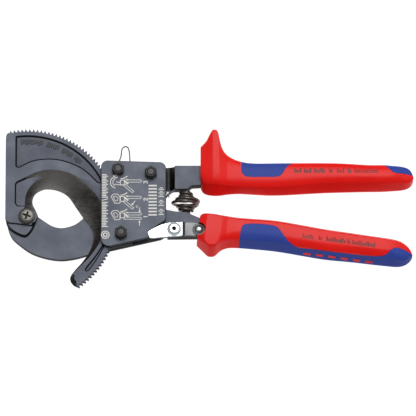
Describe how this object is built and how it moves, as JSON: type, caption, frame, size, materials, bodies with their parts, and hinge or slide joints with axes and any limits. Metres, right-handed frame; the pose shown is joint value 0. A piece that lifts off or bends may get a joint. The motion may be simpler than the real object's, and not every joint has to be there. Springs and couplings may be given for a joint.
{
  "type": "ratchet cable cutter",
  "caption": "Hand-held ratchet cable cutter: toothed blade closing over a fixed crescent jaw, riveted plate housing, two-component grips and a lock lever.",
  "frame": {"origin": "centre of the overall box in plan, on the surface that the tool lies on", "axes": "+X along the tool from the jaws to the grips' ends, +Y towards the fixed handle's side, +Z out of the front plate"},
  "size_m": [0.25, 0.0991, 0.0225],
  "materials": {
    "gunmetal_steel": "matt blue-grey phosphated steel",
    "blacked_steel": "black oxide, satin",
    "zinc_plate": "bright zinc plating",
    "warm_steel": "worn warm grey steel",
    "bearing_bronze": "sintered bronze, oiled",
    "spring_steel": "dark drawn wire",
    "grip_red": "fine-textured hard red grip plastic",
    "grip_blue": "soft-touch blue grip rubber"
  },
  "bodies": {
    "housing": {"front_plate": "gunmetal_steel", "rear_plate": "gunmetal_steel", "fixed_jaw": "gunmetal_steel", "pivot_bush": "bearing_bronze", "pivot_screw": "warm_steel", "pivot_nut": "blacked_steel", "plate_bolt_1": "blacked_steel", "plate_bolt_2": "blacked_steel", "plate_bolt_3": "blacked_steel", "lock_nut_1": "blacked_steel", "lock_nut_2": "blacked_steel", "lock_nut_3": "blacked_steel", "spacer_sleeve": "zinc_plate", "handle_bush": "bearing_bronze", "pawl_spacer": "zinc_plate", "fixed_handle_shank": "gunmetal_steel", "upper_spring_seat": "gunmetal_steel", "return_spring": "spring_steel", "hairpin_spring": "zinc_plate", "upper_grip_shell": "grip_red", "upper_grip_inlay": "grip_blue"},
    "blade": {"ratchet_blade": "gunmetal_steel"},
    "moving_handle": {"moving_handle_shank": "gunmetal_steel", "drive_pawl_pin": "zinc_plate", "lever_rivet": "zinc_plate", "lower_spring_seat": "gunmetal_steel", "lower_grip_shell": "grip_red", "lower_grip_inlay": "grip_blue"},
    "drive_pawl": {"drive_pawl": "zinc_plate"},
    "holding_pawl": {"holding_pawl": "zinc_plate"},
    "lock_lever": {"lock_lever": "zinc_plate", "lever_eyelet": "zinc_plate"}
  },
  "joints": [
    {"name": "blade_hinge", "type": "hinge", "parent": "housing", "child": "blade", "pos_m": [-0.1117, -0.0054, 0.012], "axis": [0, 0, 1], "range_deg": [-67.5, 110]},
    {"name": "handle_hinge", "type": "hinge", "parent": "housing", "child": "moving_handle", "pos_m": [-0.03585, 0.0209, 0.012], "axis": [0, 0, 1], "range_deg": [-24, 0], "deforming": ["return_spring"]},
    {"name": "drive_pawl_hinge", "type": "hinge", "parent": "moving_handle", "child": "drive_pawl", "pos_m": [-0.046, 0.0115, 0.013], "axis": [0, 0, 1], "range_deg": [0, 34]},
    {"name": "holding_pawl_hinge", "type": "hinge", "parent": "housing", "child": "holding_pawl", "pos_m": [-0.0559, 0.02305, 0.011], "axis": [0, 0, 1], "range_deg": [-5, 6]},
    {"name": "lock_lever_hinge", "type": "hinge", "parent": "moving_handle", "child": "lock_lever", "pos_m": [-0.0065, -0.0144, 0.015], "axis": [0, 0, 1], "range_deg": [0, 27]}
  ],
  "couplings": [
    {"joint": "drive_pawl_hinge", "follows": "handle_hinge", "ratio": -1.4},
    {"joint": "lock_lever_hinge", "follows": "handle_hinge", "ratio": -1.1}
  ]
}
